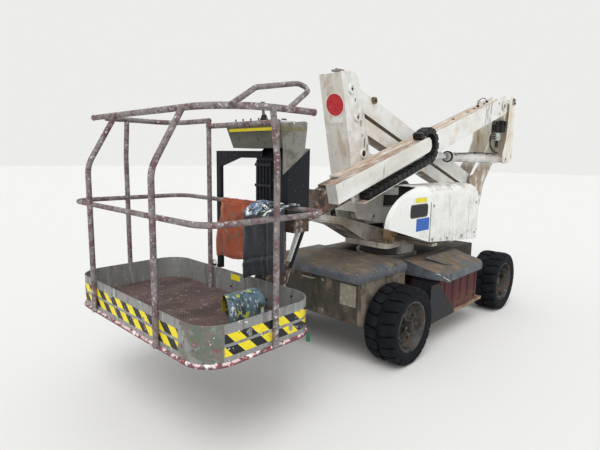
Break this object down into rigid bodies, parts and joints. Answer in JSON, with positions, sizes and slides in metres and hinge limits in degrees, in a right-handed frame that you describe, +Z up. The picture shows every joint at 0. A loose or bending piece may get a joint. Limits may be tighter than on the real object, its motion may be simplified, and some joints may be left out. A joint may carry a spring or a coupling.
{
  "type": "articulating boom lift",
  "caption": "Self-propelled articulating boom lift: two folding parallelogram risers, a telescopic boom and a work cage on a slewing turret with a wheeled chassis",
  "frame": {"origin": "middle of the overall box on the ground", "axes": "+X forward to the cage, +Y to the machine's left, +Z up"},
  "size_m": [5.0532, 1.5, 2.291],
  "materials": {
    "cover_white": "worn white gloss paint with dirt streaks",
    "boom_white": "worn white gloss paint, brown with dirt on its upper and under sides",
    "turret_white": "dirty white paint",
    "frame_grey": "dark olive grey paint, muddy",
    "lid_grey": "blue-grey moulded lid, dusty brown on top",
    "box_red": "dull maroon paint",
    "step_rust": "worn beige paint with rust",
    "tyre": "muddy black rubber",
    "rim_grey": "grey paint with rust",
    "axle_dark": "greasy dark metal",
    "steel": "bare worn steel",
    "rod": "polished rod",
    "barrel_white": "white gloss paint, black gland ring",
    "chain_black": "black moulded links",
    "motor": "beige paint with oil stains",
    "valve": "greenish white block",
    "engine": "dark block",
    "inner_grey": "worn dark paint, brown dirt",
    "cage_tube": "grey tube with paint splats",
    "toe": "grey sheet with yellow and black stripes",
    "floor": "brown dirty ribbed sheet",
    "console": "grey-olive paint",
    "black": "black",
    "hood": "blue paint with white splats",
    "canvas": "orange-brown canvas"
  },
  "bodies": {
    "chassis": {"chassis_frame": "frame_grey", "front_housing": "frame_grey", "front_lid": "lid_grey", "battery_box_left": "box_red", "battery_box_right": "box_red", "pod_lid_left": "lid_grey", "pod_lid_right": "lid_grey", "pod_sill_left": "step_rust", "pod_sill_right": "step_rust", "front_axle": "axle_dark", "rear_axle": "axle_dark", "slew_ring": "steel"},
    "steer_left": {"steer_knuckle_left": "axle_dark"},
    "steer_right": {"steer_knuckle_right": "axle_dark"},
    "wheel_front_left": {"tyre_front_left": "tyre", "rim_front_left": "rim_grey"},
    "wheel_front_right": {"tyre_front_right": "tyre", "rim_front_right": "rim_grey"},
    "wheel_rear_left": {"tyre_rear_left": "tyre", "rim_rear_left": "rim_grey"},
    "wheel_rear_right": {"tyre_rear_right": "tyre", "rim_rear_right": "rim_grey"},
    "turret": {"turret_base": "turret_white", "slew_drum": "turret_white", "slew_motor": "motor", "turret_cover_left": "cover_white", "turret_cover_right": "cover_white", "power_unit": "engine"},
    "lower_arm": {"lower_arm": "boom_white"},
    "lower_tie": {"lower_tie": "boom_white"},
    "post": {"front_post": "boom_white"},
    "upper_arm": {"upper_arm": "boom_white"},
    "upper_tie": {"upper_tie": "boom_white"},
    "rear_knuckle": {"rear_knuckle": "boom_white", "valve_block": "valve"},
    "outer_boom": {"boom_outer": "boom_white", "energy_chain": "chain_black"},
    "inner_boom": {"boom_inner": "inner_grey", "chain_tray": "boom_white"},
    "cage": {"cage_mount": "inner_grey", "mast": "black", "cage_frame": "cage_tube", "toe_board": "toe", "cage_floor": "floor", "console": "console", "foot_switch_hood": "hood", "tool_bag": "canvas", "rail_cover": "black"},
    "lower_lift_barrel": {"lower_lift_barrel": "barrel_white"},
    "lower_lift_rod": {"lower_lift_rod": "rod"},
    "upper_lift_barrel": {"upper_lift_barrel": "barrel_white"},
    "upper_lift_rod": {"upper_lift_rod": "rod"},
    "luff_barrel": {"luff_barrel": "barrel_white"},
    "luff_rod": {"luff_rod": "rod"},
    "level_barrel": {"level_barrel": "barrel_white"},
    "level_rod": {"level_rod": "rod"}
  },
  "joints": [
    {"name": "spin_front_left", "type": "hinge", "parent": "chassis", "child": "wheel_front_left", "pos_m": [0.731, 0.625, 0.292], "axis": [0, 1, 0], "continuous": true},
    {"name": "spin_front_right", "type": "hinge", "parent": "chassis", "child": "wheel_front_right", "pos_m": [0.731, -0.625, 0.292], "axis": [0, 1, 0], "continuous": true},
    {"name": "spin_rear_left", "type": "hinge", "parent": "steer_left", "child": "wheel_rear_left", "pos_m": [-1.086, 0.625, 0.292], "axis": [0, 1, 0], "continuous": true},
    {"name": "spin_rear_right", "type": "hinge", "parent": "steer_right", "child": "wheel_rear_right", "pos_m": [-1.086, -0.625, 0.292], "axis": [0, 1, 0], "continuous": true},
    {"name": "steer", "type": "hinge", "parent": "chassis", "child": "steer_left", "pos_m": [-1.086, 0.425, 0.292], "axis": [0, 0, 1], "range_deg": [-28, 28]},
    {"name": "steer_right", "type": "hinge", "parent": "chassis", "child": "steer_right", "pos_m": [-1.086, -0.425, 0.292], "axis": [0, 0, 1], "range_deg": [-28, 28]},
    {"name": "slew", "type": "hinge", "parent": "chassis", "child": "turret", "pos_m": [-0.0275, 0, 0.662], "axis": [0, 0, 1], "range_deg": [-177.5, 177.5]},
    {"name": "lower_riser", "type": "hinge", "parent": "turret", "child": "lower_arm", "pos_m": [-1.0275, -0.1, 0.93], "axis": [0, -1, 0], "range_deg": [0, 65]},
    {"name": "lower_tie_pin", "type": "hinge", "parent": "turret", "child": "lower_tie", "pos_m": [-1.1075, -0.1, 1.15], "axis": [0, -1, 0], "range_deg": [0, 65]},
    {"name": "post_pin", "type": "hinge", "parent": "lower_arm", "child": "post", "pos_m": [0.24252, -0.1, 1.001], "axis": [0, 1, 0], "range_deg": [0, 65]},
    {"name": "upper_riser", "type": "hinge", "parent": "post", "child": "upper_arm", "pos_m": [0.5225, -0.1, 1.845], "axis": [0, 1, 0], "range_deg": [0, 68]},
    {"name": "upper_tie_pin", "type": "hinge", "parent": "post", "child": "upper_tie", "pos_m": [0.6125, -0.1, 2.06], "axis": [0, 1, 0], "range_deg": [0, 68]},
    {"name": "knuckle_pin", "type": "hinge", "parent": "upper_arm", "child": "rear_knuckle", "pos_m": [-1.95025, -0.1, 1.04156], "axis": [0, -1, 0], "range_deg": [0, 68]},
    {"name": "luff", "type": "hinge", "parent": "rear_knuckle", "child": "outer_boom", "pos_m": [-2.1475, 0.12, 2.163], "axis": [0, -1, 0], "range_deg": [0, 75]},
    {"name": "telescope", "type": "slide", "parent": "outer_boom", "child": "inner_boom", "axis": [0.9583, 0, -0.2857], "range_m": [0, 1.7]},
    {"name": "cage_level", "type": "hinge", "parent": "inner_boom", "child": "cage", "pos_m": [1.06288, 0.12, 1.20594], "axis": [0, 1, 0], "range_deg": [0, 75]},
    {"name": "lower_lift_barrel_pin", "type": "hinge", "parent": "turret", "child": "lower_lift_barrel", "pos_m": [-0.9525, -0.1, 0.772], "axis": [0, -1, 0], "range_deg": [0, 62.28]},
    {"name": "lower_lift_rod_slide", "type": "slide", "parent": "lower_lift_barrel", "child": "lower_lift_rod", "axis": [0.9939, 0, 0.11], "range_m": [0, 0.18386]},
    {"name": "upper_lift_barrel_pin", "type": "hinge", "parent": "post", "child": "upper_lift_barrel", "pos_m": [0.4225, -0.1, 1.55], "axis": [0, 1, 0], "range_deg": [0, 65.62]},
    {"name": "upper_lift_rod_slide", "type": "slide", "parent": "upper_lift_barrel", "child": "upper_lift_rod", "axis": [-0.992, 0, -0.126], "range_m": [0, 0.34596]},
    {"name": "luff_barrel_pin", "type": "hinge", "parent": "rear_knuckle", "child": "luff_barrel", "pos_m": [-2.2975, 0.12, 1.53], "axis": [0, -1, 0], "range_deg": [0, 59.37]},
    {"name": "luff_rod_slide", "type": "slide", "parent": "luff_barrel", "child": "luff_rod", "axis": [0.9999, 0, 0.011], "range_m": [0, 0.57855]},
    {"name": "level_barrel_pin", "type": "hinge", "parent": "cage", "child": "level_barrel", "pos_m": [1.41288, 0.12, 0.73994], "axis": [0, -1, 0], "range_deg": [0, 0.9815]},
    {"name": "level_rod_slide", "type": "slide", "parent": "level_barrel", "child": "level_rod", "axis": [-0.3995, 0, 0.9167], "range_m": [0, 0.19797]}
  ],
  "couplings": [
    {"joint": "steer_right", "follows": "steer", "ratio": 1},
    {"joint": "lower_tie_pin", "follows": "lower_riser", "ratio": 1},
    {"joint": "post_pin", "follows": "lower_riser", "ratio": 1},
    {"joint": "upper_tie_pin", "follows": "upper_riser", "ratio": 1},
    {"joint": "knuckle_pin", "follows": "upper_riser", "ratio": 1},
    {"joint": "cage_level", "follows": "luff", "ratio": 1},
    {"joint": "lower_lift_barrel_pin", "follows": "lower_riser", "ratio": 0.95813},
    {"joint": "lower_lift_rod_slide", "follows": "lower_riser", "m_per_rad": 0.16206},
    {"joint": "upper_lift_barrel_pin", "follows": "upper_riser", "ratio": 0.96505},
    {"joint": "upper_lift_rod_slide", "follows": "upper_riser", "m_per_rad": 0.2915},
    {"joint": "luff_barrel_pin", "follows": "luff", "ratio": 0.79153},
    {"joint": "luff_rod_slide", "follows": "luff", "m_per_rad": 0.44197},
    {"joint": "level_barrel_pin", "follows": "luff", "ratio": 0.013073},
    {"joint": "level_rod_slide", "follows": "luff", "m_per_rad": 0.15123}
  ]
}
